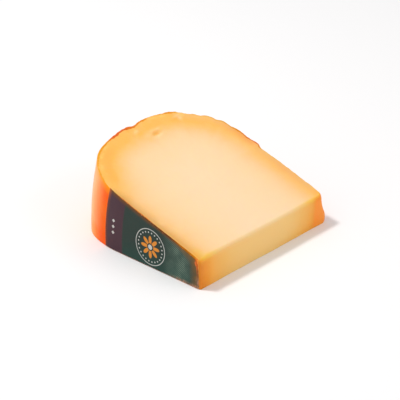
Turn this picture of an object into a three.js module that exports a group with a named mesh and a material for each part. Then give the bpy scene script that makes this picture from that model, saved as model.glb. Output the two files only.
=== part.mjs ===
// A wedge of orange-coated, Gouda-style cheese with its paper label, lying on one of its cut faces.
//
// The cheese is a sector of a whole wheel: the wheel's half section, turned through the wedge's
// angle about the wheel's axis. A third, nearly upright cut has taken off the thin point. The coated
// rind is the skin of the same block, so paste and rind are one solid. The label lies on the rind of
// one flat side of the wheel, and was cut through together with the cheese.
//
// Frame: millimetres, +Z up. The wedge rests on z = 0. The wheel's axis runs along X, the labelled
// side faces -X, the cut that took off the point faces -Y and the curved rim faces +Y.
import * as THREE from 'three';
import { mergeVertices } from 'three/addons/utils/BufferGeometryUtils.js';

// The whole wheel, and the cuts that make the wedge.
const WHEEL_RADIUS = 180.5;
const WHEEL_HEIGHT = 116;
const RIM_DEPTH = 51; // how far the rounding of the rim reaches in towards the axis
const RIM_POWER = 2.39; // 2 would be an ellipse, more is squarer
const WEDGE_ANGLE = THREE.MathUtils.degToRad(17.55);
const POINT_CUT = 60.5; // from the wheel's axis to the foot of the cut that took off the point

// That cut leans back a little as it rises.
const LEAN_LABELLED = THREE.MathUtils.degToRad(2.5);
const LEAN_PLAIN = THREE.MathUtils.degToRad(3.4);

// Edges. A knife leaves the rind's edges crisp, and the soft paste's front edge rounds over.
const RIND_EDGE = 0.8;
const PASTE_EDGE = 2.0;
const PASTE_EDGE_FULL = 9; // it grows from RIND_EDGE over this distance from the labelled side
const FOOT_EDGE = 0.5;
const CORNER_LABELLED = 1.2; // both corners are wider than the edge beside them, so that it folds nowhere
const CORNER_PLAIN = 3.6;

// The label: a disc of printed paper on the wheel's flat side, of which the wedge holds a sector. It
// was stuck on a little off the wheel's axis.
const LABEL_RADIUS = 140.9;
const LABEL_CENTRE_Z = 4.5;
const LABEL_THICKNESS = 0.4;
const LABEL_GAP = 0.3;
const LABEL_TOP_MARGIN = 0.8;
const LABEL_FOOT_MARGIN = 0.5;
const LABEL_FRONT_MARGIN = 1.2;
const LABEL_FRAYED = { width: 1.3, from: 12, to: 20 }; // more margin at the front, between these heights

// Slow swells of the rind, by their height, their length round the rim and how they turn on the way
// up. They die away at the upper edge, where the lips take over.
const SWELLS = [
  { height: 0.25, length: 67, twist: 0.9, phase: 0.4 },
  { height: 0.15, length: 31, twist: -1.7, phase: 2.1 },
  { height: 0.1, length: 17, twist: 2.6, phase: 4.0 },
];

// Ragged lips along the upper edge, where the knife left the coating standing proud of the cut, and
// bites between them, where it tore a little away. Each has its place round the rim from the rim's
// middle, positive towards the plain side, how far it stands out, and its reach to either side.
const LIPS = [
  { at: -42.6, out: 0.3, before: 8, after: 8 },
  { at: -24.3, out: -0.6, before: 8, after: 8 },
  { at: -17, out: -0.3, before: 4, after: 4 },
  { at: -8.1, out: -0.3, before: 3, after: 2.5 },
  { at: -1.6, out: -1.5, before: 3, after: 5 },
  { at: 17.8, out: 0.8, before: 9, after: 9 },
  { at: 30.7, out: 1.3, before: 5, after: 6 },
  { at: 40.6, out: -1.3, before: 2.5, after: 9 },
  { at: 51.5, out: -1.15, before: 5, after: 2.5 },
  { at: 62.8, out: -0.8, before: 3, after: 2.5 },
  { at: 67.8, out: 0.75, before: 2.5, after: 2.5 },
  { at: 74.6, out: -0.45, before: 3, after: 3 },
  { at: 83, out: 0.4, before: 6, after: 6 },
  { at: 89, out: -0.5, before: 4, after: 4 },
  { at: 97.2, out: 1.15, before: 6, after: 2.2 },
  { at: 102.7, out: -0.8, before: 3, after: 8 },
  { at: 147, out: 0.6, before: 4, after: 5 },
];
const LIP_DROP = 8; // how far down the rind a lip fades out

// The rind's relief starts past the label and past the front corner, and comes in over a distance.
const RELIEF_PAST_LABEL = 2;
const RELIEF_EASE = 12;

// The foot of the plain side swells out beside the front cut.
const BULGE = { out: 3.3, along: 12, inward: 9, bottom: 0.22, spread: 0.34 };

// Unevenness of the upper cut: a warp from the knife's turning, which leaves the labelled side high
// at the front and low further back, a short nick near the rim, and the worn labelled corner, where
// the soft front edge is rubbed down.
const WARP = 1.0;
const WARP_REACH = 78;
const WORN = { drop: 0.8, inward: 16, back: 6 };
const NICK = { axial: 6.7, radial: 165.5, depth: 1.1, halfLength: 4.3, halfWidth: 1.5, turn: 0.11 };

// How finely the surface is divided.
const FRONT_COLUMNS = 16;
const CORNER_COLUMNS = 3;
const PLAIN_COLUMNS = 24;
const RIM_COLUMNS = 70;
const LABELLED_COLUMNS = 12;
const EDGE_STEPS = 3;
const WALL_STEPS = 8;
const TOP_RINGS = [1, 2.5, 4.5, 7, 9.5, 11.5, 13, 14.5, 16.5, 20, 27, 38]; // distances in from the edge
const FOOT_RINGS = [3, 14, 34];
const LABEL_CORNER_STEPS = 6;
const LABEL_ARC_STEPS = 24;
const MERGE_DISTANCE = 1e-4;

const HALF = WHEEL_HEIGHT / 2;
const SHOULDER = WHEEL_RADIUS - RIM_DEPTH;
const CENTRE = new THREE.Vector2(0, (POINT_CUT + WHEEL_RADIUS) / 2);

// A hump of height 1 at 0, which has all but died away at twice its reach.
function hump(distance, reach) {
  return Math.exp(-((distance / reach) ** 2));
}

// The rounded rim of the half section, a superellipse from the plain side to the labelled one.
// Its points are (axial, radial): the place along the axis, and the distance from it.
class RimCurve extends THREE.Curve {
  getPoint(t, target = new THREE.Vector2()) {
    const angle = Math.PI * (0.5 - t);
    const sine = Math.sin(angle);
    const axial = HALF * Math.sign(sine) * Math.abs(sine) ** (2 / RIM_POWER);
    const radial = SHOULDER + RIM_DEPTH * Math.abs(Math.cos(angle)) ** (2 / RIM_POWER);
    return target.set(axial, radial);
  }
}

// The half section's outline, counterclockwise from the labelled front corner, as a list of curves
// with the number of columns that each gets.
function sectionCurves() {
  const labelledCorner = new THREE.Vector2(-HALF + CORNER_LABELLED, POINT_CUT + CORNER_LABELLED);
  const plainCorner = new THREE.Vector2(HALF - CORNER_PLAIN, POINT_CUT + CORNER_PLAIN);
  const point = (axial, radial) => new THREE.Vector2(axial, radial);
  const corner = (centre, radius, from) =>
    new THREE.EllipseCurve(centre.x, centre.y, radius, radius, from, from + Math.PI / 2);
  return [
    [new THREE.LineCurve(point(labelledCorner.x, POINT_CUT), point(plainCorner.x, POINT_CUT)), FRONT_COLUMNS],
    [corner(plainCorner, CORNER_PLAIN, -Math.PI / 2), CORNER_COLUMNS],
    [new THREE.LineCurve(point(HALF, plainCorner.y), point(HALF, SHOULDER)), PLAIN_COLUMNS],
    [new RimCurve(), RIM_COLUMNS],
    [new THREE.LineCurve(point(-HALF, SHOULDER), point(-HALF, labelledCorner.y)), LABELLED_COLUMNS],
    [corner(labelledCorner, CORNER_LABELLED, Math.PI), CORNER_COLUMNS],
  ];
}

// The columns of the surface's grid: points of the outline, each with its outward normal and its
// distance round the rind from the middle of the rim.
function sectionColumns() {
  const halfRim = new RimCurve().getLength() / 2;
  const columns = [];
  for (const [curve, count] of sectionCurves()) {
    for (let step = 0; step < count; step += 1) {
      const point = curve.getPointAt(step / count);
      const tangent = curve.getTangentAt(step / count);
      let around = Math.sign(point.x) * (halfRim + SHOULDER - point.y);
      if (curve instanceof RimCurve) around = halfRim * (1 - (2 * step) / count);
      columns.push({ point, normal: new THREE.Vector2(tangent.y, -tangent.x), around });
    }
  }
  return columns;
}

// How far the rind stands out at a column, at a share of the height from 0 to 1. The labelled side
// stays flat as far as the label reaches, and the front cut has no rind.
function rindRelief(column, height) {
  const { point, normal, around } = column;
  if (normal.y < 0) return 0;
  const beside = point.x < 0 ? LABEL_RADIUS + RELIEF_PAST_LABEL : POINT_CUT + CORNER_PLAIN;
  const free = THREE.MathUtils.smoothstep(point.y, beside, beside + RELIEF_EASE);
  const nearEdge = hump((1 - height) * point.y * WEDGE_ANGLE, LIP_DROP);
  let relief = 0;
  for (const { height: swell, length, twist, phase } of SWELLS) {
    relief += (1 - nearEdge) * swell * Math.sin((2 * Math.PI * around) / length + twist * height + phase);
  }
  for (const { at, out, before, after } of LIPS) {
    relief += nearEdge * out * hump(around - at, around < at ? before : after);
  }
  return relief * free;
}

// A place of the block in space: axial and radial in the half section, turned up by an angle.
function placeAt(axial, radial, angle) {
  return new THREE.Vector3(axial, radial * Math.cos(angle) - POINT_CUT, radial * Math.sin(angle));
}

// How far the front cut leans back at a place along the axis.
function leanAt(axial) {
  return THREE.MathUtils.mapLinear(axial, -HALF, HALF, LEAN_LABELLED, LEAN_PLAIN);
}

// How far from the wheel's axis the front cut is, at an angle up from the foot.
function frontRadial(axial, angle) {
  return POINT_CUT / (Math.cos(angle) - Math.sin(angle) * Math.tan(leanAt(axial)));
}

// Moves a radial distance with the leaning front cut, all the way at the front and not at the rim.
function besideFront(axial, radial, angle) {
  const share = (WHEEL_RADIUS - radial) / (WHEEL_RADIUS - POINT_CUT);
  return radial + share * (frontRadial(axial, angle) - POINT_CUT);
}

// The swollen foot of the plain side, as a push along the axis.
function footBulge(axial, radial, height) {
  const beside = hump(HALF - axial, BULGE.inward) * hump(radial - POINT_CUT, BULGE.along);
  return BULGE.out * beside * hump(height - BULGE.bottom, BULGE.spread);
}

// A point of the outline in space, at a share of the height from 0 to 1 and moved in by a distance.
function outlinePoint(column, height, inset = 0) {
  const angle = height * WEDGE_ANGLE;
  const out = rindRelief(column, height) - inset;
  const axial = column.point.x + column.normal.x * out;
  const radial = besideFront(axial, column.point.y + column.normal.y * out, angle);
  return placeAt(axial + footBulge(axial, radial, height), radial, angle);
}

// How far the upper cut is worn down at a place along the axis and a distance from the wheel's axis.
function wornDown(axial, radial) {
  const behind = Math.max(0, 1 - (radial - frontRadial(axial, WEDGE_ANGLE)) / WORN.back);
  return WORN.drop * hump(axial + HALF, WORN.inward) * behind ** 2;
}

// How far the upper cut face stands above its plane.
function cutRelief(point) {
  const radial = Math.hypot(point.y + POINT_CUT, point.z);
  const turned = Math.min(1, (radial - POINT_CUT) / WARP_REACH);
  const warp = WARP * Math.cos(Math.PI * turned) * ((HALF - point.x) / WHEEL_HEIGHT) ** 2;
  const across = radial - NICK.radial;
  const along = point.x - NICK.axial;
  const nickAlong = along * Math.cos(NICK.turn) + across * Math.sin(NICK.turn);
  const nickAcross = across * Math.cos(NICK.turn) - along * Math.sin(NICK.turn);
  const nick = NICK.depth * hump(nickAlong, NICK.halfLength) * hump(nickAcross, NICK.halfWidth);
  return warp - nick - wornDown(point.x, radial);
}

const UP_FROM_CUT = new THREE.Vector3(0, -Math.sin(WEDGE_ANGLE), Math.cos(WEDGE_ANGLE));

// Lifts a point of the upper cut's plane on to the uneven face.
function onUpperCut(point) {
  return point.clone().addScaledVector(UP_FROM_CUT, cutRelief(point));
}

// The unit direction up the wall at a column, along the wheel's turning or the leaning front cut.
function upTheWall(column, height) {
  const angle = height * WEDGE_ANGLE;
  const lean = leanAt(column.point.x);
  const turning = new THREE.Vector3(0, -Math.sin(angle), Math.cos(angle));
  const leaning = new THREE.Vector3(0, Math.sin(lean), Math.cos(lean));
  return turning.lerp(leaning, Math.max(0, -column.normal.y)).normalize();
}

// A quarter round that joins a cut face to the wall: from its end in the face, past the corner that
// it rounds off, to its end on the wall.
function roundedEdge(corner, inFace, onWall) {
  const points = [];
  for (let step = 0; step <= EDGE_STEPS; step += 1) {
    const turn = (step / EDGE_STEPS) * (Math.PI / 2);
    const point = corner.clone().addScaledVector(inFace, 1 - Math.sin(turn));
    points.push(point.addScaledVector(onWall, 1 - Math.cos(turn)));
  }
  return points;
}

// Points of a cut face at the given distances from its edge towards its centre.
function acrossFace(edge, centre, distances) {
  const reach = edge.distanceTo(centre);
  return distances.map((distance) => edge.clone().lerp(centre, distance / reach));
}

// One column of the surface, from the middle of the foot up to the middle of the upper cut.
function columnPoints(column, footCentre, topCentre) {
  const foot = outlinePoint(column, 0);
  const footFlat = outlinePoint(column, 0, FOOT_EDGE);
  const footUp = upTheWall(column, 0).multiplyScalar(FOOT_EDGE);
  const footEdge = roundedEdge(foot, footFlat.clone().sub(foot), footUp);

  const full = THREE.MathUtils.smoothstep(column.point.x + HALF, 0, PASTE_EDGE_FULL);
  const edge = THREE.MathUtils.lerp(RIND_EDGE, PASTE_EDGE, Math.max(0, -column.normal.y) * full);
  const top = onUpperCut(outlinePoint(column, 1));
  const topFlat = outlinePoint(column, 1, edge);
  const topDown = upTheWall(column, 1).multiplyScalar(-edge);
  const topEdge = roundedEdge(top, onUpperCut(topFlat).sub(top), topDown).reverse();

  const heightOf = (point) => Math.atan2(point.z, point.y + POINT_CUT) / WEDGE_ANGLE;
  const [wallFoot, wallTop] = [heightOf(footEdge.at(-1)), heightOf(topEdge[0])];
  const wall = [];
  for (let step = 1; step < WALL_STEPS; step += 1) {
    wall.push(outlinePoint(column, THREE.MathUtils.lerp(wallFoot, wallTop, step / WALL_STEPS)));
  }

  return [
    footCentre,
    ...acrossFace(footFlat, footCentre, FOOT_RINGS).reverse(),
    ...footEdge,
    ...wall,
    ...topEdge,
    ...acrossFace(topFlat, topCentre, TOP_RINGS).map(onUpperCut),
    onUpperCut(topCentre),
  ];
}

// The cheese: a ball's grid of columns and rings, moved on to the wedge's surface, and its seam and
// poles closed by merging the vertices that meet.
function cheeseGeometry() {
  const footCentre = placeAt(CENTRE.x, CENTRE.y, 0);
  const topCentre = placeAt(CENTRE.x, CENTRE.y, WEDGE_ANGLE);
  const columns = sectionColumns().map((column) => columnPoints(column, footCentre, topCentre));
  const across = columns.length;
  const rings = columns[0].length - 1;
  const ball = new THREE.SphereGeometry(1, across, rings);
  const { position } = ball.attributes;
  for (let ring = 0; ring <= rings; ring += 1) {
    for (let column = 0; column <= across; column += 1) {
      const { x, y, z } = columns[column % across][rings - ring];
      position.setXYZ(ring * (across + 1) + column, x, y, z);
    }
  }
  ball.deleteAttribute('normal');
  ball.deleteAttribute('uv');
  const closed = mergeVertices(ball, MERGE_DISTANCE);
  closed.computeVertexNormals();
  return closed;
}

// The label's outline on the flat side, as (y, z): the edge along the foot, the round outer edge,
// the edge along the upper cut and its worn corner, and the frayed end beside the leaning front cut.
// The round edge is on a circle about a centre above the wheel's axis, and its two angles are where
// that circle meets the foot's margin and the upper cut's.
function labelShape() {
  const footAngle = Math.asin((LABEL_FOOT_MARGIN - LABEL_CENTRE_Z) / LABEL_RADIUS);
  const belowCut = LABEL_TOP_MARGIN + LABEL_CENTRE_Z * Math.cos(WEDGE_ANGLE);
  const topAngle = WEDGE_ANGLE - Math.asin(belowCut / LABEL_RADIUS);
  const frontAt = (z) => {
    const frayed = THREE.MathUtils.smoothstep(z, LABEL_FRAYED.from, LABEL_FRAYED.to);
    return LABEL_FRONT_MARGIN + LABEL_FRAYED.width * frayed + z * Math.tan(LEAN_LABELLED);
  };
  const topAt = (y) => {
    const plane = (y + POINT_CUT) * Math.tan(WEDGE_ANGLE);
    const worn = wornDown(-HALF, Math.hypot(y + POINT_CUT, plane));
    return plane - (LABEL_TOP_MARGIN + worn) / Math.cos(WEDGE_ANGLE);
  };
  const cornerY = frontAt(LABEL_FRAYED.to);
  const cornerZ = topAt(cornerY);

  const shape = new THREE.Shape();
  shape.moveTo(frontAt(LABEL_FOOT_MARGIN), LABEL_FOOT_MARGIN);
  shape.lineTo(LABEL_RADIUS * Math.cos(footAngle) - POINT_CUT, LABEL_FOOT_MARGIN);
  shape.absarc(-POINT_CUT, LABEL_CENTRE_Z, LABEL_RADIUS, footAngle, topAngle);
  for (let step = 0; step < LABEL_CORNER_STEPS; step += 1) {
    const y = cornerY + WORN.back * (1 - step / LABEL_CORNER_STEPS);
    shape.lineTo(y, topAt(y));
  }
  for (let step = 0; step < LABEL_CORNER_STEPS; step += 1) {
    const z = THREE.MathUtils.lerp(cornerZ, LABEL_FRAYED.from, step / LABEL_CORNER_STEPS);
    shape.lineTo(frontAt(z), z);
  }
  shape.closePath();
  return shape;
}

// A thin plate of the label's outline, drawn in (y, z) and as thick as the label along X.
function labelGeometry() {
  const plate = new THREE.ExtrudeGeometry(labelShape(), {
    depth: LABEL_THICKNESS,
    bevelEnabled: false,
    curveSegments: LABEL_ARC_STEPS,
  });
  const alongX = new THREE.Vector3(1, 0, 0);
  const alongY = new THREE.Vector3(0, 1, 0);
  const alongZ = new THREE.Vector3(0, 0, 1);
  return plate.applyMatrix4(new THREE.Matrix4().makeBasis(alongY, alongZ, alongX));
}

const cheeseMaterial = new THREE.MeshStandardMaterial({ color: 0xf6c069, roughness: 0.5, metalness: 0 });
const labelMaterial = new THREE.MeshStandardMaterial({ color: 0x3c4a44, roughness: 0.55, metalness: 0 });

const cheese = new THREE.Mesh(cheeseGeometry(), cheeseMaterial);
cheese.name = 'cheese_wedge';

const label = new THREE.Mesh(labelGeometry(), labelMaterial);
label.name = 'label';
label.position.x = -HALF - LABEL_GAP - LABEL_THICKNESS;

// Both pieces, moved so that the origin is under the middle of their box.
const wedge = new THREE.Group();
wedge.add(cheese, label);
const middle = new THREE.Box3().setFromObject(wedge).getCenter(new THREE.Vector3());
wedge.position.set(-middle.x, -middle.y, 0);

const part = new THREE.Group();
part.add(wedge);

export default part;
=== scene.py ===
"""A wedge of orange-coated, Gouda-style cheese with its paper label, lying on one of its cut faces.

Sizes are in millimetres and turned into metres as each mesh is made. The formulas work in the
wheel's own frame: its axis runs along X at y = -POINT_CUT, and z = 0 is the foot.
"""

import bpy
import numpy as np
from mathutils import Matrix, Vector


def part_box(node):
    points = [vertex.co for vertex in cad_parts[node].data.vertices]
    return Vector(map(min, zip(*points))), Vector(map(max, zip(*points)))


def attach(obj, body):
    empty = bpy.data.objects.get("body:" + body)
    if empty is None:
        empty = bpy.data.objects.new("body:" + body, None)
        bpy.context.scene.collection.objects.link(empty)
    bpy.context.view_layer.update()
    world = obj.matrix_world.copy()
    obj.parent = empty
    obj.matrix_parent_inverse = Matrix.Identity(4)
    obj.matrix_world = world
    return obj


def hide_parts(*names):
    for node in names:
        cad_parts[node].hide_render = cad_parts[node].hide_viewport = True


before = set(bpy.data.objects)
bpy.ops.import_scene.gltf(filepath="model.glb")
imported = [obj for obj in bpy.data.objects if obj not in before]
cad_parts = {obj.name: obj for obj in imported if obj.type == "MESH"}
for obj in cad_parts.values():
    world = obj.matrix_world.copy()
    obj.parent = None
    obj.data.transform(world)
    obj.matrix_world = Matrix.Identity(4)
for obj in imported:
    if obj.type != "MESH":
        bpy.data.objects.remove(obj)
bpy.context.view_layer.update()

# ---------------------------------------------------------------------------------------------
# The cheese: a sector of a whole wheel, cut with a broad knife, with its thin point cut off. The
# paste is firm, moist and a little translucent. Its rind is a thin orange coating, brushed on the
# whole wheel in several coats and cut through with it.

WHEEL_RADIUS = 180.5
WHEEL_HEIGHT = 116.0
RIM_DEPTH = 51.0
RIM_POWER = 2.39
WEDGE_ANGLE = np.radians(17.55)
POINT_CUT = 60.5
LEAN_LABELLED = np.radians(2.5)
LEAN_PLAIN = np.radians(3.4)
HALF = WHEEL_HEIGHT / 2
SHOULDER = WHEEL_RADIUS - RIM_DEPTH
FACE_MIDDLE = (POINT_CUT + WHEEL_RADIUS) / 2

RIND_EDGE = 0.8
PASTE_EDGE = 2.0
PASTE_EDGE_FULL = 9.0
FOOT_EDGE = 0.5
CORNER_LABELLED = 1.2
CORNER_PLAIN = 3.6
LABEL_RADIUS = 140.9
LABEL_FRONT, LABEL_FOOT, LABEL_STANDS = 1.2, 0.5, 0.7

# Slow swells of the rind: height, length round the rim, twist on the way up and phase.
SWELLS = [(0.25, 67, 0.9, 0.4), (0.15, 31, -1.7, 2.1), (0.1, 17, 2.6, 4.0)]

# Lips and bites of the rind along the upper edge: place round the rim from its middle, how far
# each stands out, and its reach before and after.
LIPS = [
    (-42.6, 0.3, 8, 8), (-24.3, -0.6, 8, 8), (-17, -0.3, 4, 4), (-8.1, -0.3, 3, 2.5),
    (-1.6, -1.5, 3, 5), (17.8, 0.8, 9, 9), (30.7, 1.3, 5, 6), (40.6, -1.3, 2.5, 9),
    (51.5, -1.15, 5, 2.5), (62.8, -0.8, 3, 2.5), (67.8, 0.75, 2.5, 2.5), (74.6, -0.45, 3, 3),
    (83, 0.4, 6, 6), (89, -0.5, 4, 4), (97.2, 1.15, 6, 2.2), (102.7, -0.8, 3, 8),
    (147, 0.6, 4, 5),
]
LIP_DROP = 8.0
PEEL = 0.05

# Waves of the front cut: height, length, climb and phase. Waves of the upper cut: height, share of
# the axial and of the radial place, and length.
FRONT_WAVES, FRONT_LEAN = [(0.12, 11, 0, 0.7), (0.07, 4.3, 3, 0)], 9
CUT_WAVES = [(0.08, 1, 0.35, 7.5), (0.05, 0.2, -1, 5.1)]

# Ragged lines that sharpen the lips, and those of the burr that the knife raised on the coating:
# height, step along the rim and random seed.
TORN_LINES, TORN_DROP = [(0.07, 2.6, 5), (0.05, 1.2, 6)], 2.0
BURR_LINES, BURR_LEVEL = [(0.5, 3.1, 11), (0.35, 1.2, 12)], 0.25
BURR, BURR_LABELLED, BURR_FROM = 0.35, 0.3, (66, 80)
BURR_WIDTH, BURR_DROP = 0.75, 1.2

BULGE_OUT, BULGE_ALONG, BULGE_INWARD = 3.3, 12.0, 9.0
BULGE_BOTTOM, BULGE_SPREAD = 0.22, 0.34
WARP, WARP_REACH = 1.0, 78.0
WORN_DROP, WORN_INWARD, WORN_BACK = 0.8, 16.0, 6.0

# Marks of the upper cut: axial and radial place, height, half length, half width and turn.
NICK = (6.7, 165.5, -1.1, 4.3, 1.5, 0.11)
CREASES = [
    (-7.0, 172.1, -0.35, 4.5, 1.4, 1.1), (-3.5, 173.6, 0.3, 3.5, 1.2, 1.2),
    (32.8, 170.4, -0.4, 4.0, 1.2, 1.0), (35.3, 170.0, 0.3, 3.5, 1.2, 0.9),
    (2.7, 164.8, 0.25, 1.6, 1.0, 0.4), (12.9, 167.0, 0.2, 2.2, 0.9, 0.2),
]

FRONT_COLUMNS, PLAIN_COLUMNS, RIM_COLUMNS, LABELLED_COLUMNS = 130, 90, 330, 90
CORNER_COLUMNS = 6
EDGE_STEPS = 5
WALL_STEPS = 44
TOP_RINGS = np.cumsum(0.4 * 1.03 ** np.arange(53))
FOOT_RINGS = np.cumsum(1.0 * 1.14 ** np.arange(14))


def to_row(points):
    """Points in the wheel's frame, in millimetres, as points of the part's frame, in metres. The
    two differ by one shift, found from the lowest corner of the label's solid."""
    low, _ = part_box("label")
    label_low = [-HALF - LABEL_STANDS, LABEL_FRONT + LABEL_FOOT * np.tan(LEAN_LABELLED)]
    shift = np.array([low.x - label_low[0] / 1000, low.y - label_low[1] / 1000, 0.0])
    return np.asarray(points) / 1000 + shift


def hump(distance, reach):
    """exp(-(distance / reach) squared): 1 at the middle, all but gone at twice the reach."""
    return np.exp(-((distance / reach) ** 2))


def smooth_step(value, low, high):
    """0 below low, 1 above high, and 3 t^2 - 2 t^3 between them."""
    t = np.clip((value - low) / (high - low), 0, 1)
    return t * t * (3 - 2 * t)


def ragged(place, step, seed):
    """Uneven line: random heights from -1 to 1 every step, joined by half cosines."""
    heights = np.random.default_rng(seed).uniform(-1, 1, 1024)
    at = place / step + 512
    before = np.floor(at).astype(int)
    share = (1 - np.cos(np.pi * (at - before))) / 2
    return heights[before % 1024] * (1 - share) + heights[(before + 1) % 1024] * share


def arc(centre, radius, start, count):
    """A quarter circle, counterclockwise from an angle: places and outward normals."""
    angle = start + np.pi / 2 * np.arange(count) / count
    normal = np.stack([np.cos(angle), np.sin(angle)])
    return np.array(centre)[:, None] + radius * normal, normal


def line(start, end, count, outward):
    """Even steps along a straight line, with its one outward normal."""
    share = np.arange(count) / count
    places = np.outer(start, 1 - share) + np.outer(end, share)
    return places, np.outer(outward, np.ones(count))


def rim(count):
    """The rounded rim: |axial / HALF|^n + |(radial - SHOULDER) / RIM_DEPTH|^n = 1, in even steps
    of length from the plain side to the labelled one. Its normal is the gradient of that sum."""
    angle = np.pi * (0.5 - np.linspace(0, 1, 6001))
    axial = HALF * np.sign(np.sin(angle)) * np.abs(np.sin(angle)) ** (2 / RIM_POWER)
    radial = RIM_DEPTH * np.abs(np.cos(angle)) ** (2 / RIM_POWER)
    length = np.append(0, np.cumsum(np.hypot(np.diff(axial), np.diff(radial))))
    at = length[-1] * np.arange(count) / count
    places = np.stack([np.interp(at, length, axial), np.interp(at, length, radial)])
    share = places / [[HALF], [RIM_DEPTH]]
    normal = np.sign(share) * np.abs(share) ** (RIM_POWER - 1) / [[HALF], [RIM_DEPTH]]
    around = length[-1] / 2 - at
    return places + [[0], [SHOULDER]], normal / np.hypot(*normal), around, length[-1] / 2


def half_section():
    """The half section's outline, counterclockwise from the labelled front corner: axial and
    radial places, outward normals, and the distance round the rind from the rim's middle."""
    labelled = (-HALF + CORNER_LABELLED, POINT_CUT + CORNER_LABELLED)
    plain = (HALF - CORNER_PLAIN, POINT_CUT + CORNER_PLAIN)
    rim_places, rim_normals, rim_around, half_rim = rim(RIM_COLUMNS)
    runs = [
        line((labelled[0], POINT_CUT), (plain[0], POINT_CUT), FRONT_COLUMNS, (0, -1)),
        arc(plain, CORNER_PLAIN, -np.pi / 2, CORNER_COLUMNS),
        line((HALF, plain[1]), (HALF, SHOULDER), PLAIN_COLUMNS, (1, 0)),
        (rim_places, rim_normals),
        line((-HALF, SHOULDER), (-HALF, labelled[1]), LABELLED_COLUMNS, (-1, 0)),
        arc(labelled, CORNER_LABELLED, np.pi, CORNER_COLUMNS),
    ]
    places = np.concatenate([run[0] for run in runs], axis=1)
    normals = np.concatenate([run[1] for run in runs], axis=1)
    around = np.sign(places[0]) * (half_rim + SHOULDER - places[1])
    on_rim = FRONT_COLUMNS + CORNER_COLUMNS + PLAIN_COLUMNS + np.arange(RIM_COLUMNS)
    around[on_rim] = rim_around
    return places, normals, around


(AXIAL, RADIAL), (ACROSS, AWAY), AROUND = half_section()
FACES_FRONT = np.maximum(0, -AWAY)


def rind_relief(height):
    """How far the rind stands out at each column, at a share of the height: slow swells lower
    down, and the lips and bites near the upper edge, sharpened by small raggedness. The coating
    adds a fine peel: one sine wave times another that leans the other way."""
    beside = np.where(AXIAL < 0, LABEL_RADIUS + 2, POINT_CUT + CORNER_PLAIN)
    free = smooth_step(RADIAL, beside, beside + 12)
    near_edge = hump((1 - height) * RADIAL * WEDGE_ANGLE, LIP_DROP)
    swells = sum(
        out * np.sin(2 * np.pi * AROUND / length + twist * height + phase)
        for out, length, twist, phase in SWELLS
    )
    lips = sum(
        out * hump(AROUND - at, np.where(AROUND < at, before, after))
        for at, out, before, after in LIPS
    )
    torn = sum(out * ragged(AROUND, step, seed) for out, step, seed in TORN_LINES)
    torn = torn * hump((1 - height) * RADIAL * WEDGE_ANGLE, TORN_DROP)
    peel = PEEL * np.sin(AROUND / 2.1 + 9 * height) * np.sin(0.9 * AROUND - 23 * height)
    return np.where(AWAY < 0, 0, free * ((1 - near_edge) * swells + near_edge * lips + torn + peel))


def front_relief(height):
    """Waves of the front cut, where the knife was drawn down through the paste: long ones across
    it and short ones that lean with the blade."""
    along = AXIAL + FRONT_LEAN * height
    waves = sum(
        out * np.sin(along / length + climb * height + phase)
        for out, length, climb, phase in FRONT_WAVES
    )
    return FACES_FRONT * waves * smooth_step(HALF - np.abs(AXIAL), 2, 10)


def place_at(axial, radial, angle):
    """A place of the half section, turned up about the wheel's axis by an angle."""
    return np.stack([axial, radial * np.cos(angle) - POINT_CUT, radial * np.sin(angle)], axis=-1)


def lean_at(axial):
    """How far the front cut leans back, from LEAN_LABELLED to LEAN_PLAIN along the axis."""
    return LEAN_LABELLED + (axial + HALF) / WHEEL_HEIGHT * (LEAN_PLAIN - LEAN_LABELLED)


def front_radial(axial, angle):
    """How far from the wheel's axis the front cut is, at an angle up from the foot."""
    return POINT_CUT / (np.cos(angle) - np.sin(angle) * np.tan(lean_at(axial)))


def beside_front(axial, radial, angle):
    """Moves a radial distance with the leaning front cut, fully at the front and not at the rim."""
    share = (WHEEL_RADIUS - radial) / (WHEEL_RADIUS - POINT_CUT)
    return radial + share * (front_radial(axial, angle) - POINT_CUT)


def foot_bulge(axial, radial, height):
    """The swollen foot of the plain side beside the front cut, as a push along the axis."""
    beside = hump(HALF - axial, BULGE_INWARD) * hump(radial - POINT_CUT, BULGE_ALONG)
    return BULGE_OUT * beside * hump(height - BULGE_BOTTOM, BULGE_SPREAD)


def outline_points(height, inset=0.0):
    """Every column's point on the outline, at shares of the height and moved in by a distance."""
    angle = height * WEDGE_ANGLE
    out = rind_relief(height) + front_relief(height) - inset
    axial = AXIAL + ACROSS * out
    radial = beside_front(axial, RADIAL + AWAY * out, angle)
    return place_at(axial + foot_bulge(axial, radial, height), radial, angle * np.ones_like(radial))


def cut_mark(axial, radial, mark):
    """A hump or hollow of the cut face: longer along its own turn than across it."""
    at_axial, at_radial, height, half_length, half_width, turn = mark
    along = (axial - at_axial) * np.cos(turn) + (radial - at_radial) * np.sin(turn)
    across = (radial - at_radial) * np.cos(turn) - (axial - at_axial) * np.sin(turn)
    return height * hump(along, half_length) * hump(across, half_width)


def worn_down(axial, radial):
    """How far the labelled front corner of the upper cut is rubbed down: a hump along the axis
    times (1 - distance behind the front cut / WORN_BACK) squared."""
    behind = np.maximum(0, 1 - (radial - front_radial(axial, WEDGE_ANGLE)) / WORN_BACK)
    return WORN_DROP * hump(axial + HALF, WORN_INWARD) * behind ** 2


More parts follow.
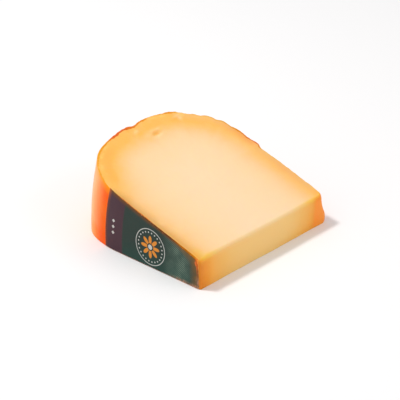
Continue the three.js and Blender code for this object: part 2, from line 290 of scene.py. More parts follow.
def on_upper_cut(points):
    """Lifts points of the upper cut's plane on to the uneven face: the knife's slow warp, faint
    waves that it left as it was pressed through, the nick and the creases."""
    x, y, z = np.moveaxis(points, -1, 0)
    radial = np.hypot(y + POINT_CUT, z)
    turned = np.minimum(1, (radial - POINT_CUT) / WARP_REACH)
    lift = WARP * np.cos(np.pi * turned) * ((HALF - x) / WHEEL_HEIGHT) ** 2
    inside = smooth_step(HALF - np.abs(x), 0, 8) * smooth_step(radial, 64, 72)
    waves = sum(
        out * np.sin((axially * x + outwards * radial) / length)
        for out, axially, outwards, length in CUT_WAVES
    )
    lift = lift + waves * inside + sum(cut_mark(x, radial, mark) for mark in [NICK, *CREASES])
    lift = lift - worn_down(x, radial)
    up = np.array([0, -np.sin(WEDGE_ANGLE), np.cos(WEDGE_ANGLE)])
    return points + lift[..., None] * up


def up_the_wall(height):
    """The unit direction up the wall at each column: along the wheel's turning, or along the
    leaning front cut."""
    angle, lean = height * WEDGE_ANGLE, lean_at(AXIAL)
    turning = np.array([0, -np.sin(angle), np.cos(angle)])
    leaning = np.stack([0 * lean, np.sin(lean), np.cos(lean)], axis=-1)
    way = turning * (1 - FACES_FRONT[:, None]) + leaning * FACES_FRONT[:, None]
    return way / np.linalg.norm(way, axis=1, keepdims=True)


def rounded_edge(corner, in_face, on_wall):
    """A quarter round from its end in the cut face to its end on the wall:
    corner + (1 - sin t) in_face + (1 - cos t) on_wall."""
    turn = np.linspace(0, np.pi / 2, EDGE_STEPS + 1)[:, None, None]
    return corner + (1 - np.sin(turn)) * in_face + (1 - np.cos(turn)) * on_wall


def across_face(edge, centre, distances):
    """Rings of points at the given distances from a face's edge towards its centre."""
    share = distances[:, None, None] / np.linalg.norm(centre - edge, axis=1)[:, None]
    return edge + share * (centre - edge)


def rind_depth(axial, radial):
    """How deep a place of the half section lies under the rind: HALF - |axial| beside the flat
    sides, and (1 - g) / |gradient of g| under the rim, where g is the rim's own formula."""
    past = np.maximum(radial - SHOULDER, 0)
    share = np.stack([np.abs(axial) / HALF, past / RIM_DEPTH])
    g = np.maximum((share ** RIM_POWER).sum(axis=0) ** (1 / RIM_POWER), 1e-3)
    steep = (share / g) ** (RIM_POWER - 1)
    return np.maximum(0, (1 - g) / np.hypot(steep[0] / HALF, steep[1] / RIM_DEPTH))


def top_edge_width():
    """How wide each column's rounding is at the upper cut: RIND_EDGE beside the rind, and up to
    PASTE_EDGE at the front, which it reaches some way from the labelled side."""
    full = FACES_FRONT * smooth_step(AXIAL + HALF, 0, PASTE_EDGE_FULL)
    return RIND_EDGE + full * (PASTE_EDGE - RIND_EDGE)


def cheese_surface():
    """The closed surface as rings of columns, from the middle of the foot up to the middle of the
    upper cut, and those two middles."""
    foot_centre = place_at(0.0, FACE_MIDDLE, 0.0)
    top_centre = place_at(0.0, FACE_MIDDLE, WEDGE_ANGLE)

    foot, foot_flat = outline_points(0.0), outline_points(0.0, FOOT_EDGE)
    foot_edge = rounded_edge(foot, foot_flat - foot, up_the_wall(0.0) * FOOT_EDGE)

    edge = top_edge_width()
    top, top_flat = on_upper_cut(outline_points(1.0)), outline_points(1.0, edge)
    down = up_the_wall(1.0) * -edge[:, None]
    top_edge = rounded_edge(top, on_upper_cut(top_flat) - top, down)[::-1]

    def height_of(points):
        """Each point's angle about the wheel's axis, as a share of the wedge's."""
        return np.arctan2(points[:, 2], points[:, 1] + POINT_CUT) / WEDGE_ANGLE

    low, high = height_of(foot_edge[-1]), height_of(top_edge[0])
    share = np.linspace(0, 1, WALL_STEPS + 1)[1:-1, None]
    wall_height = low + share * (high - low)
    wall = np.stack([outline_points(row) for row in wall_height])

    top_rings = on_upper_cut(across_face(top_flat, top_centre, TOP_RINGS))
    foot_rings = across_face(foot_flat, foot_centre, FOOT_RINGS)[::-1]
    rings = np.concatenate([foot_rings, foot_edge, wall, top_edge, top_rings])
    return rings, foot_centre, on_upper_cut(top_centre)


def torn_burr():
    """How far the coating stands proud of the upper cut where the knife tore it: ragged lines kept
    above zero, from a little behind the front cut on, and lower along the labelled side."""
    torn = BURR_LEVEL + sum(out * ragged(AROUND, step, seed) for out, step, seed in BURR_LINES)
    on_rind = np.where(AWAY < 0, 0, smooth_step(RADIAL, *BURR_FROM))
    return BURR * np.maximum(0, torn) * on_rind * np.where(AXIAL < -HALF + 0.1, BURR_LABELLED, 1)


def ring_faces(ring_count, column_count):
    """Quads between neighbouring rings of closed columns, facing outwards, and the triangles that
    close the two poles, whose points come last: the foot's, then the top's."""
    ring, column = np.meshgrid(np.arange(ring_count - 1), np.arange(column_count), indexing="ij")
    after = (column + 1) % column_count
    low, high = ring * column_count, (ring + 1) * column_count
    quads = np.stack([low + column, low + after, high + after, high + column], axis=-1)
    column = np.arange(column_count)
    after = (column + 1) % column_count
    foot_pole, top_pole = ring_count * column_count + np.array([0, 1])
    last = (ring_count - 1) * column_count
    foot_fan = np.stack([after, column, np.full_like(column, foot_pole)], axis=-1)
    top_fan = np.stack([last + column, last + after, np.full_like(column, top_pole)], axis=-1)
    return quads.reshape(-1, 4), np.concatenate([foot_fan, top_fan])


def make_piece(name, points, quads, triangles=()):
    """A smooth mesh object at the origin, from points in metres."""
    mesh = bpy.data.meshes.new(name)
    mesh.from_pydata(points.tolist(), [], [*quads.tolist(), *np.asarray(triangles, int).tolist()])
    mesh.polygons.foreach_set("use_smooth", np.ones(len(mesh.polygons), bool))
    mesh.update()
    piece = bpy.data.objects.new(name, mesh)
    bpy.context.scene.collection.objects.link(piece)
    return piece


def give_values(piece, name, values):
    """Stores one number per point, for the piece's material."""
    attribute = piece.data.attributes.new(name, "FLOAT", "POINT")
    attribute.data.foreach_set("value", np.ascontiguousarray(values, dtype=np.float32).ravel())


def by_place(place, table):
    """The columns of a table at places between its rows, whose first number is the place."""
    at, *columns = np.transpose(table)
    return [np.interp(place, at, column) for column in columns]


rings, foot_pole, top_pole = cheese_surface()
ring_count, column_count = rings.shape[:2]
first_foot_edge = len(FOOT_RINGS)
first_wall = first_foot_edge + EDGE_STEPS
first_top_edge = first_wall + WALL_STEPS
first_top_ring = first_top_edge + EDGE_STEPS + 1

# Every point's place in the plain half section, before relief, gives its depth under the rind. The
# rings of a rounded edge lie on its inset lines, and those of a face on shares of the way inwards.
edge_width = top_edge_width()
edge_turn = np.linspace(0, np.pi / 2, EDGE_STEPS + 1)[:, None]
no_share = np.zeros((EDGE_STEPS + 1, 1))
to_middle = np.hypot(AXIAL, RADIAL - FACE_MIDDLE)
plain_axial = np.tile(AXIAL, (ring_count, 1))
plain_radial = np.tile(RADIAL, (ring_count, 1))
for first, inset, share in (
    (0, FOOT_EDGE, FOOT_RINGS[::-1, None] / to_middle),
    (first_foot_edge, FOOT_EDGE * (1 - np.sin(edge_turn)), no_share),
    (first_top_edge, edge_width * (1 - np.cos(edge_turn)), no_share),
    (first_top_ring, edge_width, TOP_RINGS[:, None] / to_middle),
):
    rows = slice(first, first + len(share))
    inset_radial = RADIAL - AWAY * inset
    plain_axial[rows] = (AXIAL - ACROSS * inset) * (1 - share)
    plain_radial[rows] = inset_radial + share * (FACE_MIDDLE - inset_radial)
depth = rind_depth(plain_axial, plain_radial)

raised = torn_burr() * hump(depth, BURR_WIDTH)
raised[:first_wall] = 0
steps_down = np.arange(WALL_STEPS, 0, -1)[:, None]
raised[first_wall:first_top_edge] *= hump(steps_down * RADIAL * WEDGE_ANGLE / WALL_STEPS, BURR_DROP)
rings[..., 2] += raised

cheese_points = np.concatenate([rings.reshape(-1, 3), [foot_pole, top_pole]])
cheese_quads, cheese_fans = ring_faces(ring_count, column_count)
cheese = make_piece("cheese_block", to_row(cheese_points), cheese_quads, cheese_fans)


def store(name, values, foot=0.0, top=0.0):
    """Stores one number per point of the cheese: those of the rings, then of the two poles."""
    give_values(cheese, name, np.append(np.broadcast_to(values, depth.shape).ravel(), [foot, top]))


# How far the paste has ripened and dried under the rind: share * exp(-(depth / width)^power), plus
# a slow tail further in. Under the rim it is an even band with a rather sharp end, and along the
# flat sides it falls off from the rind itself. Rows: place round the rim, width, power, share and
# the tail's share.
BAND = [
    (-155, 10, 1.1, 0.8, 0.15), (-125, 10, 1.1, 0.83, 0.15), (-97, 10, 1.1, 0.76, 0.15),
    (-83, 14, 1.8, 0.72, 0.25), (-62, 17.5, 3.2, 0.75, 0.35), (30, 17.5, 3.2, 0.75, 0.35),
    (60, 17.5, 2.8, 0.78, 0.3), (90, 15.5, 2.0, 0.8, 0.2), (155, 13, 2.0, 0.8, 0.2),
]
TAIL_WIDTH, TAIL_POWER = 31.0, 1.7
band_width, band_power, band_share, tail_share = by_place(AROUND, BAND)
ripeness = band_share * np.exp(-((depth / band_width) ** band_power))
ripeness += tail_share * np.exp(-((depth / TAIL_WIDTH) ** TAIL_POWER))
store("ripeness", np.minimum(1, ripeness))
store("rind_depth", depth, foot=40, top=40)

# The front cut has its own ripened band, shown in a darker copy of the paste's colours that is
# painted shade. Its band reaches further in towards the foot on the plain side.
FACE_WIDTH, FACE_POWER_LABELLED, FACE_POWER_PLAIN = 15.0, 1.3, 1.5
FACE_FOOT_WIDTH, FACE_FOOT_RISE = 14.0, 3.5
on_plain = AXIAL > 0
face_width = FACE_WIDTH + on_plain * FACE_FOOT_WIDTH * np.exp(-rings[..., 2] / FACE_FOOT_RISE)
face_power = np.where(on_plain, FACE_POWER_PLAIN, FACE_POWER_LABELLED)
store("face_ripeness", np.exp(-((depth / face_width) ** face_power)))

height = np.clip(np.arctan2(rings[..., 2], rings[..., 1] + POINT_CUT) / WEDGE_ANGLE, 0, 1)
below_cut = (1 - height) * RADIAL * WEDGE_ANGLE
facing_front = smooth_step(-AWAY, 0, 0.3)
front = np.zeros((ring_count, column_count))
front[first_wall:first_top_edge] = facing_front
front[first_top_edge:first_top_ring] = facing_front * np.cos(edge_turn)
store("front_cut", front)
store("below_cut", below_cut, foot=40)

# The front's rounded upper edge carries a painted highlight: pale, golden at both ends and wider
# at the labelled one, where it also covers the corner of the upper cut. Its place across the edge
# is counted from the corner that the rounding takes off.
HIGHLIGHT_AT, HIGHLIGHT_REACH, HIGHLIGHT_WIDER, HIGHLIGHT_WIDER_FROM = 0.5, 1.8, 1.0, (44, 56)
HIGHLIGHT_SHARE, HIGHLIGHT_LABELLED, HIGHLIGHT_LABELLED_FROM = 0.5, 0.25, (30, 46)
HIGHLIGHT_PLAIN, HIGHLIGHT_PLAIN_AT, HIGHLIGHT_PLAIN_REACH = 0.2, 45, 6
HIGHLIGHT_CORNER, HIGHLIGHT_CORNER_FROM, HIGHLIGHT_CORNER_BEHIND, HIGHLIGHT_CORNER_REACH = 0.5, (48, 55), 3, 7
HIGHLIGHT_GOLD_SHIFT, HIGHLIGHT_GOLD_FROM, HIGHLIGHT_DEEP_FROM = 5, (26, 48), (52.5, 58)
past_corner = np.zeros(depth.shape)
past_corner[:first_top_edge] = -below_cut[:first_top_edge]
past_corner[first_top_edge:first_top_ring] = edge_width * (np.sin(edge_turn) - np.cos(edge_turn))
past_corner[first_top_ring:] = edge_width + TOP_RINGS[:, None]
highlight_wider = smooth_step(-AXIAL, *HIGHLIGHT_WIDER_FROM) * (past_corner > HIGHLIGHT_AT)
highlight_share = HIGHLIGHT_SHARE + HIGHLIGHT_LABELLED * smooth_step(-AXIAL, *HIGHLIGHT_LABELLED_FROM)
highlight_share = highlight_share + HIGHLIGHT_PLAIN * hump(AXIAL - HIGHLIGHT_PLAIN_AT, HIGHLIGHT_PLAIN_REACH)
edge_highlight = hump(past_corner - HIGHLIGHT_AT, HIGHLIGHT_REACH + HIGHLIGHT_WIDER * highlight_wider)
behind_front = np.maximum(0, plain_radial - POINT_CUT - HIGHLIGHT_CORNER_BEHIND)
corner_highlight = HIGHLIGHT_CORNER * smooth_step(-plain_axial, *HIGHLIGHT_CORNER_FROM)
corner_highlight = corner_highlight * hump(behind_front, HIGHLIGHT_CORNER_REACH)
corner_highlight[:first_top_edge] = 0
towards_ends = np.maximum(-plain_axial - HIGHLIGHT_GOLD_SHIFT, plain_axial)
store("edge_highlight", np.maximum(FACES_FRONT * highlight_share * edge_highlight, corner_highlight))
store("edge_highlight_gold", smooth_step(towards_ends, *HIGHLIGHT_GOLD_FROM))
store("edge_highlight_deep", smooth_step(-plain_axial, *HIGHLIGHT_DEEP_FROM))

# Beside the label the coating is a thin dark brown strip of painted shade. It is fainter at the
# label's upper outer corner, at a tear of the upper edge, and next to the front cut, where the coating
# is rubbed thin.
DARKENED_PAST_LABEL = 1.3
FAINT_CORNER, FAINT_CORNER_FROM, FAINT_CORNER_ABOVE = 0.7, (137, 141), 0.8
FAINT = [(0.6, 76.5, 5), (0.8, POINT_CUT + 4, 9)]
THIN_BEHIND, THIN_REACH = 2, 1.5
on_labelled = (AXIAL < -HALF + 0.2) & (AWAY > -0.2)
at_corner = smooth_step(RADIAL, *FAINT_CORNER_FROM) * (height > FAINT_CORNER_ABOVE)
darkened = on_labelled & (RADIAL < LABEL_RADIUS + DARKENED_PAST_LABEL)
darkened = darkened * (1 - FAINT_CORNER * at_corner)
for share, at, reach in FAINT:
    darkened = darkened * (1 - share * hump(RADIAL - at, reach))
store("beside_label", darkened)
behind_thin = np.maximum(0, RADIAL - POINT_CUT - THIN_BEHIND)
store("front_corner", ((AXIAL < 0) & (AWAY > -0.5)) * hump(behind_thin, THIN_REACH))

# The plain side's end of the front cut is orange where the coating was drawn over it.
DRAWN_FROM, DRAWN_LEAN = (44.8, 49.0), 0.15
store("plain_corner", front * smooth_step(rings[..., 0] - DRAWN_LEAN * rings[..., 2], *DRAWN_FROM))

# Small marks of the upper cut, as axial and radial place, strength, half length, half width and
# turn: golden painted shade in the nick and the deepest creases, and pale painted highlights where
# the paste is raised beside them.
SHADE_MARKS = [
    (6.8, 165.7, 1.0, 4.0, 1.8, 0.15), (27.9, 170.1, 0.6, 3.0, 1.5, 0.1),
    (33.5, 173.7, 0.7, 1.6, 0.9, 0.0), (-9.3, 176.2, 0.6, 1.4, 0.9, 0.0),
]
HIGHLIGHT_MARKS = [
    (7.6, 162.8, 0.9, 3.5, 1.4, 0.25), (4.0, 162.6, 0.6, 3.0, 1.4, 0.0),
    (10.1, 168.5, 0.7, 2.6, 1.1, 0.3), (5.6, 168.7, 0.5, 3.0, 1.1, 0.1),
    (0.0, 166.6, 0.6, 3.0, 2.2, 0.1), (32.0, 169.5, 0.9, 2.2, 1.4, 1.2),
    (30.8, 172.0, 0.6, 4.0, 1.0, 0.3), (-4.4, 173.3, 0.7, 2.6, 1.5, 0.3),
    (-53.4, 101.4, 0.4, 2.6, 2.0, 1.5),
]
MARKS_ABOVE = 0.95
radial_now = np.hypot(rings[..., 1] + POINT_CUT, rings[..., 2])
for name, marks in (("shade_mark", SHADE_MARKS), ("highlight_mark", HIGHLIGHT_MARKS)):
    share = sum(cut_mark(rings[..., 0], radial_now, mark) for mark in marks)
    store(name, np.minimum(1, share) * (height > MARKS_ABOVE))

# The coating's torn edge. Rows: place round the rim, how wide it shows on the cut in millimetres,
# and its shade, from a yellow brown over golden to a red orange. Its outer side is redder.
TORN_EDGE = [
    (-150, 0, 0.7), (-130, 0.2, 0.8), (-120, 0.5, 0.85), (-110, 0.9, 0.85), (-86, 0.9, 0.85),
    (-78, 0.5, 0.6), (-60, 1.1, 0.4), (-45, 1.4, 0.4), (-30, 1.9, 0.5), (-22, 2.4, 1),
    (-8, 2.7, 0.95), (0, 2.5, 0.75), (8, 2.6, 0.6), (14, 1.2, 0.4), (24, 1.2, 0.5),
    (31, 2.6, 0.55), (38, 0.9, 0.1), (50, 1.5, 0), (75, 2.0, 0.5), (90, 2.2, 0.9),
    (97, 1.8, 0.95), (105, 1.6, 0), (135, 1.4, 0.1), (150, 0, 0.4),
]
OUTER_SHADE, OUTER_REDDER, OUTER_REDDER_FROM = 0.5, 0.4, (10, 45)
torn_width, torn_shade = by_place(AROUND, TORN_EDGE)
store("torn_width", torn_width)
store("torn_shade", torn_shade)
outer_shade = OUTER_SHADE + OUTER_REDDER * smooth_step(AROUND, *OUTER_REDDER_FROM)
store("coating_shade", np.maximum(torn_shade, outer_shade))

# Under the label the paste is darker. On both shoulders and along the plain side it is an orange
# in patches, and a dull yellow between them. Rows: place round the rim and share.
ORANGE = [
    (-80, 0), (-66, 0.5), (-40, 0.5), (-25, 0), (60, 0), (71, 1.2), (82, 1.8), (94, 1.8),
    (99, 0.4), (112, 0.5), (118, 1.0), (132, 1.0), (138, 0.5), (150, 0.4),
]
DULL = [
    (30, 0), (38, 0.8), (60, 0.8), (74, 1), (80, 0.6), (92, 0.6), (99, 1), (145, 1), (155, 0),
]
DARKER_FROM, STAIN_REACH, DULL_DEPTH = (72, 90), 5.0, 0.5
[orange_share], [dull_share] = by_place(AROUND, ORANGE), by_place(AROUND, DULL)
orange_depth, orange_reach = np.where(AROUND < 0, 6.5, 1.0), np.where(AROUND < 0, 3.5, 4.2)
store("under_label", smooth_step(-AROUND, *DARKER_FROM) * hump(depth, STAIN_REACH))
store("orange_patch", orange_share * hump(depth - orange_depth, orange_reach))
store("dull_patch", dull_share * hump(depth - DULL_DEPTH, STAIN_REACH))

# A pale streak lies close under the rind of the labelled shoulder, and another past the middle.
# Each has its share, where it begins round the rim, and where it ends, counted the other way.
STREAKS = [(1, (-64, -52), (26, 34)), (0.8, (8, 16), (-60, -36))]
STREAK_DEPTH, STREAK_REACH = 2.6, 1.1
streak = sum(
    share * smooth_step(AROUND, *begins) * smooth_step(-AROUND, *ends)
    for share, begins, ends in STREAKS
)
store("pale_streak", streak * hump(depth - STREAK_DEPTH, STREAK_REACH))

# A painted reflection makes the coating paler round the rim than on the flat sides, and palest
# higher up, where it also begins nearer to the label. On each side it grows from a first place to a
# second.
HIGHER_UP, HIGHER_SHIFT = (0.1, 0.3), 1.5
REFLECTION_LABELLED, REFLECTION_PLAIN = (-73, -56), (-100, -45)
higher_up = smooth_step(height, *HIGHER_UP)
towards_rim = -np.abs(AROUND) + HIGHER_SHIFT * higher_up * (AROUND < 0)
reflection_places = [np.where(AROUND < 0, *places) for places in zip(REFLECTION_LABELLED, REFLECTION_PLAIN)]
store("rim_reflection", smooth_step(towards_rim, *reflection_places))
store("higher_up", higher_up)


def linear(colour):
    """A colour of screen values from 0 to 255, as the linear light that shaders take."""
    share = np.array(colour) / 255
    light = np.where(share <= 0.04045, share / 12.92, ((share + 0.055) / 1.055) ** 2.4)
    return (*light.tolist(), 1.0)


def new_finish(name):
    """An empty material with a Principled shader: (material, node tree, shader)."""
    material = bpy.data.materials.new(name)
    material.use_nodes = True
    tree = material.node_tree
    return material, tree, tree.nodes["Principled BSDF"]


def fill(node, inputs):
    """Gives a node's inputs, by name or number, a constant each or another node's output."""
    for key, value in inputs.items():
        if isinstance(value, bpy.types.NodeSocket):
            node.id_data.links.new(value, node.inputs[key])
        else:
            node.inputs[key].default_value = value


def add(kind, inputs, **settings):
    """Adds a node with these settings and inputs to the tree that an input comes from."""
    tree = next(v.id_data for v in inputs.values() if isinstance(v, bpy.types.NodeSocket))
    made = tree.nodes.new("ShaderNode" + kind)
    for name, value in settings.items():
        setattr(made, name, value)
    fill(made, inputs)
    return made


def maths(operation, *values, clamp=False):
    """The result of one Math node."""
    return add("Math", dict(enumerate(values)), operation=operation, use_clamp=clamp).outputs[0]


def rescaled(value, low, high, at_low=0.0, at_high=1.0):
    """A value's place from low to high, as a number from at_low to at_high, held at both ends."""
    inputs = {"Value": value, "From Min": low, "From Max": high, "To Min": at_low, "To Max": at_high}
    return add("MapRange", inputs).outputs[0]


def times(first, second, clamp=False):
    """The product of two numbers."""
    return maths("MULTIPLY", first, second, clamp=clamp)


def value_of(tree, name):
    """A number stored on the piece's points."""
    made = tree.nodes.new("ShaderNodeAttribute")
    made.attribute_name = name
    return made.outputs["Fac"]


def noise(place, size, detail=3.0, stretch=(1, 1, 1)):
    """Noise from 0 to 1 whose features are about size millimetres across, drawn out by stretch."""
    shrunk = tuple(1 / s for s in stretch)
    scaled = add("VectorMath", {0: place, 1: shrunk}, operation="MULTIPLY")
    inputs = {"Vector": scaled.outputs[0], "Scale": 1000 / size, "Detail": detail}
    return add("TexNoise", inputs).outputs["Fac"]


def ramp(share, stops):
    """Colours by share, as (share, red, green, blue) stops with screen values."""
    made = add("ValToRGB", {"Fac": share})
    elements = made.color_ramp.elements
    while len(elements) < len(stops):
        elements.new(0.5)
    for element, (at, *colour) in zip(elements, stops):
        element.position = at
        element.color = linear(colour)
    return made.outputs["Color"]


def blended(share, *colours):
    """Two colours mixed by share, each as screen values or another node's output. The mix node
    keeps its colours in inputs 6 and 7 and output 2."""
    first, second = (c if isinstance(c, bpy.types.NodeSocket) else linear(c) for c in colours)
    inputs = {"Factor": share, 6: first, 7: second}
    return add("Mix", inputs, data_type="RGBA").outputs[2]


def bumps(shader, layers):
    """Chains bump nodes, as (height, millimetres) layers, into the shader's normal."""
    normal = None
    for height, size in layers:
        inputs = {"Height": height, "Distance": size / 1000, "Strength": 1.0}
        if normal is not None:
            inputs["Normal"] = normal
        normal = add("Bump", inputs).outputs["Normal"]
    fill(shader, {"Normal": normal})


# Colours of the torn edge by its shade, on the cut and on the coating.
TORN_SHADES = [(0.0, 238, 180, 90), (0.4, 228, 156, 14), (1.0, 216, 96, 8)]

# The paste: pale at the middle and golden where it ripened under the rind. The front cut has its
# own darker, more saturated copy of these colours, which is painted shade.
MOTTLE, FINE_MOTTLE = 0.4, 0.15
paste, tree, shader = new_finish("cheese_paste")
place = tree.nodes.new("ShaderNodeTexCoord").outputs["Object"]
ripe = value_of(tree, "ripeness")
on_front = value_of(tree, "front_cut")
mottle = maths("SUBTRACT", noise(place, 9, 4), 0.5)
fine_mottle = maths("SUBTRACT", noise(place, 2.2, 3), 0.5)
spread = times(mottle, times(ripe, MOTTLE))
fine_spread = times(fine_mottle, times(ripe, FINE_MOTTLE))
spread = maths("ADD", spread, fine_spread)
top_colour = ramp(maths("ADD", ripe, spread, clamp=True), [
    (0.0, 250, 216, 175), (0.07, 250, 214, 168), (0.18, 250, 210, 160), (0.4, 250, 202, 144),
    (0.68, 250, 195, 123), (0.88, 250, 190, 103), (1.0, 250, 186, 89),
])
# The front cut's colours: painted shade, darker and more saturated than the upper cut's.
shaded_face_colour = ramp(maths("ADD", value_of(tree, "face_ripeness"), spread, clamp=True), [
    (0.0, 242, 198, 123), (0.18, 242, 186, 97), (0.5, 244, 170, 69),
    (0.65, 240, 158, 50), (0.8, 236, 147, 36), (1.0, 221, 127, 16),
])

# Tints of the upper cut, then the streak in patches, then the painted highlight of the front's
# edge and the marks' painted highlights and shade over both cuts.
for name, strength, tint in (
    ("under_label", 0.3, (120, 80, 58)),
    ("orange_patch", 0.4, (244, 150, 50)),
    ("dull_patch", 0.35, (224, 186, 142)),
):
    top_colour = blended(times(value_of(tree, name), strength), top_colour, tint)
patches = rescaled(noise(place, 7, 2), 0.4, 0.6, 0.0, 0.7)
share = times(value_of(tree, "pale_streak"), patches)
top_colour = blended(share, top_colour, (250, 212, 118))
colour = blended(on_front, top_colour, shaded_face_colour)
# The painted highlight of the front's rounded edge: pale, golden towards both ends, deepest at the
# labelled one.
highlight_colour = blended(value_of(tree, "edge_highlight_gold"), (250, 216, 162), (249, 200, 66))
highlight_colour = blended(value_of(tree, "edge_highlight_deep"), highlight_colour, (250, 174, 34))
colour = blended(value_of(tree, "edge_highlight"), colour, highlight_colour)
colour = blended(value_of(tree, "plain_corner"), colour, (252, 148, 42))
# Painted highlights beside the marks, and painted shade in the nick and the creases.
for name, strength, mark in (
    ("highlight_mark", 0.8, (254, 209, 154)), ("shade_mark", 0.55, (240, 170, 40)),
):
    colour = blended(times(value_of(tree, name), strength), colour, mark)

# The torn edge of the coating, as far in as its width, with an uneven border.
TORN_SOFTNESS = 0.5
uneven = rescaled(noise(place, 9, 2), 0.38, 0.62, 0.75, 1.15)
torn_reach = times(value_of(tree, "torn_width"), uneven)
uneven_depth = maths("ADD", value_of(tree, "rind_depth"), fine_mottle)
torn = maths("SUBTRACT", torn_reach, uneven_depth)
torn = maths("DIVIDE", torn, TORN_SOFTNESS, clamp=True)
torn = times(torn, maths("SUBTRACT", 1.0, on_front))
colour = blended(torn, colour, ramp(value_of(tree, "torn_shade"), TORN_SHADES))
fill(shader, {
    "Base Color": colour, "Roughness": rescaled(noise(place, 14, 3), 0.0, 1.0, 0.4, 0.55),
    "IOR": 1.45, "Specular IOR Level": 0.35,
    "Subsurface Weight": 0.35, "Subsurface Radius": (1.0, 0.5, 0.2), "Subsurface Scale": 0.004,
})
bumps(shader, [
    (noise(place, 3.5, 3), 0.08),
    (noise(place, 1.6, 2, (12, 1, 1)), 0.05),
    (noise(place, 0.5, 2), 0.03),
])

# The coating: orange, glossy and faintly uneven, deeper in colour where it lies thicker, and golden
# where it thins out towards the upper cut.
coating, tree, shader = new_finish("rind_coating")
place = tree.nodes.new("ShaderNodeTexCoord").outputs["Object"]
patch = noise(place, 22, 4)
speck = noise(place, 1.5, 2)
near_cut = value_of(tree, "below_cut")
colour = ramp(patch, [(0.3, 255, 90, 0), (0.5, 255, 100, 2), (0.72, 255, 114, 8)])
colour = blended(times(speck, 0.12), colour, (224, 70, 0))
# Painted reflection: the coating paler round the rim, palest higher up.
reflection_colour = blended(value_of(tree, "higher_up"), (255, 165, 86), (255, 178, 114))
colour = blended(value_of(tree, "rim_reflection"), colour, reflection_colour)
glow = rescaled(near_cut, 0.0, 7.0, 0.9, 0.0)
colour = blended(glow, colour, (255, 164, 8))
torn = rescaled(near_cut, 0.6, 1.4, 0.9, 0.0)
colour = blended(torn, colour, ramp(value_of(tree, "coating_shade"), TORN_SHADES))
# Painted shade: a thin dark brown strip beside the label.
colour = blended(value_of(tree, "beside_label"), colour, (118, 58, 26))
flecks = rescaled(noise(place, 3, 2), 0.42, 0.6)
bare = blended(flecks, (206, 92, 36), (250, 146, 56))
colour = blended(value_of(tree, "front_corner"), colour, bare)
fill(shader, {
    "Base Color": colour, "Roughness": rescaled(patch, 0.0, 1.0, 0.28, 0.38),
    "IOR": 1.48, "Specular IOR Level": 0.07,
    "Subsurface Weight": 0.15, "Subsurface Radius": (1.0, 0.3, 0.1), "Subsurface Scale": 0.002,
})
bumps(shader, [
    (noise(place, 9, 3), 0.25),
    (noise(place, 1.2, 2), 0.03),
])

# The coating covers the wall outside the front cut, and the outer half of the rounded edges.
coated_ring = np.zeros(ring_count - 1, bool)
coated_ring[first_wall - EDGE_STEPS // 2:first_top_edge + EDGE_STEPS // 2] = True
least_away = np.where(AXIAL < 0, -0.2, -0.85)
coated = coated_ring[:, None] & (AWAY > least_away) & (np.roll(AWAY, -1) > least_away)
cheese.data.materials.append(paste)
cheese.data.materials.append(coating)
face_finish = np.concatenate([coated.ravel().astype(np.int32), np.zeros(2 * column_count, np.int32)])
cheese.data.polygons.foreach_set("material_index", face_finish)
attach(cheese, "root")
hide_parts("cheese_wedge")

# ---------------------------------------------------------------------------------------------
# The label: a round sheet of satin printed paper, stuck on the wheel's flat side under the last
# coat and cut through with the cheese. Its print is generic: a rosette in a ring, a row of
# diamonds on the outer band, and fine slanting lines towards the point.

LABEL_CENTRE_Z = 4.5
LABEL_TOP = 0.8
LABEL_FRAYED, FRAYED_FROM, FRAYED_TO = 1.3, 12.0, 20.0
LABEL_BACK = 0.02
LABEL_THICKNESS = 0.3
LABEL_WAVE, LABEL_WAVE_FROM = 0.06, 6.0
LABEL_ACROSS, LABEL_UP = 220, 90


def label_front(z):
    """How far back the label's front edge is at a height: the margin, wider where the edge is
    frayed, along the leaning front cut."""
    frayed = LABEL_FRAYED * smooth_step(z, FRAYED_FROM, FRAYED_TO)
    return LABEL_FRONT + frayed + z * np.tan(LEAN_LABELLED)


def label_top(y):
    """How high the label's upper edge is: a margin below the upper cut and its worn corner."""
    plane = (y + POINT_CUT) * np.tan(WEDGE_ANGLE)
    worn = worn_down(-HALF, np.hypot(y + POINT_CUT, plane))
    return plane - (LABEL_TOP + worn) / np.cos(WEDGE_ANGLE)


def label_grid():
    """The label's sheet in (y, z): straight lines from the front edge to the outer arc, at even
    shares from the foot to the upper cut, brought down to the worn corner, with each point's
    distance to each edge."""
    slope = np.tan(WEDGE_ANGLE)
    corner_y = label_front(FRAYED_TO)
    corner_z = (corner_y + POINT_CUT) * slope - LABEL_TOP / np.cos(WEDGE_ANGLE)
    low_angle = np.arcsin((LABEL_FOOT - LABEL_CENTRE_Z) / LABEL_RADIUS)
    below_cut = LABEL_TOP + LABEL_CENTRE_Z * np.cos(WEDGE_ANGLE)
    high_angle = WEDGE_ANGLE - np.arcsin(below_cut / LABEL_RADIUS)
    along = np.linspace(0, 1, LABEL_ACROSS)[:, None] ** 1.3
    up = np.linspace(0, 1, LABEL_UP)[None, :]
    front_z = LABEL_FOOT + up * (corner_z - LABEL_FOOT)
    front_y = label_front(front_z)
    angle = low_angle + up * (high_angle - low_angle)
    y = front_y + along * (LABEL_RADIUS * np.cos(angle) - POINT_CUT - front_y)
    z = front_z + along * (LABEL_CENTRE_Z + LABEL_RADIUS * np.sin(angle) - front_z)
    plane_top = (y + POINT_CUT) * slope - LABEL_TOP / np.cos(WEDGE_ANGLE)
    z = z + up * (label_top(y) - plane_top)
    to_arc = LABEL_RADIUS - np.hypot(y + POINT_CUT, z - LABEL_CENTRE_Z)
    to_top = (label_top(y) - z) * np.cos(WEDGE_ANGLE)
    return y, z, np.stack([to_arc, to_top, y - label_front(z), z - LABEL_FOOT])


def rind_at(radial):
    """How far out the labelled side is at a distance from the axis: HALF, and past the shoulder
    the rim's own curve."""
    share = np.maximum(radial - SHOULDER, 0) / RIM_DEPTH
    return HALF * (1 - share ** RIM_POWER) ** (1 / RIM_POWER)


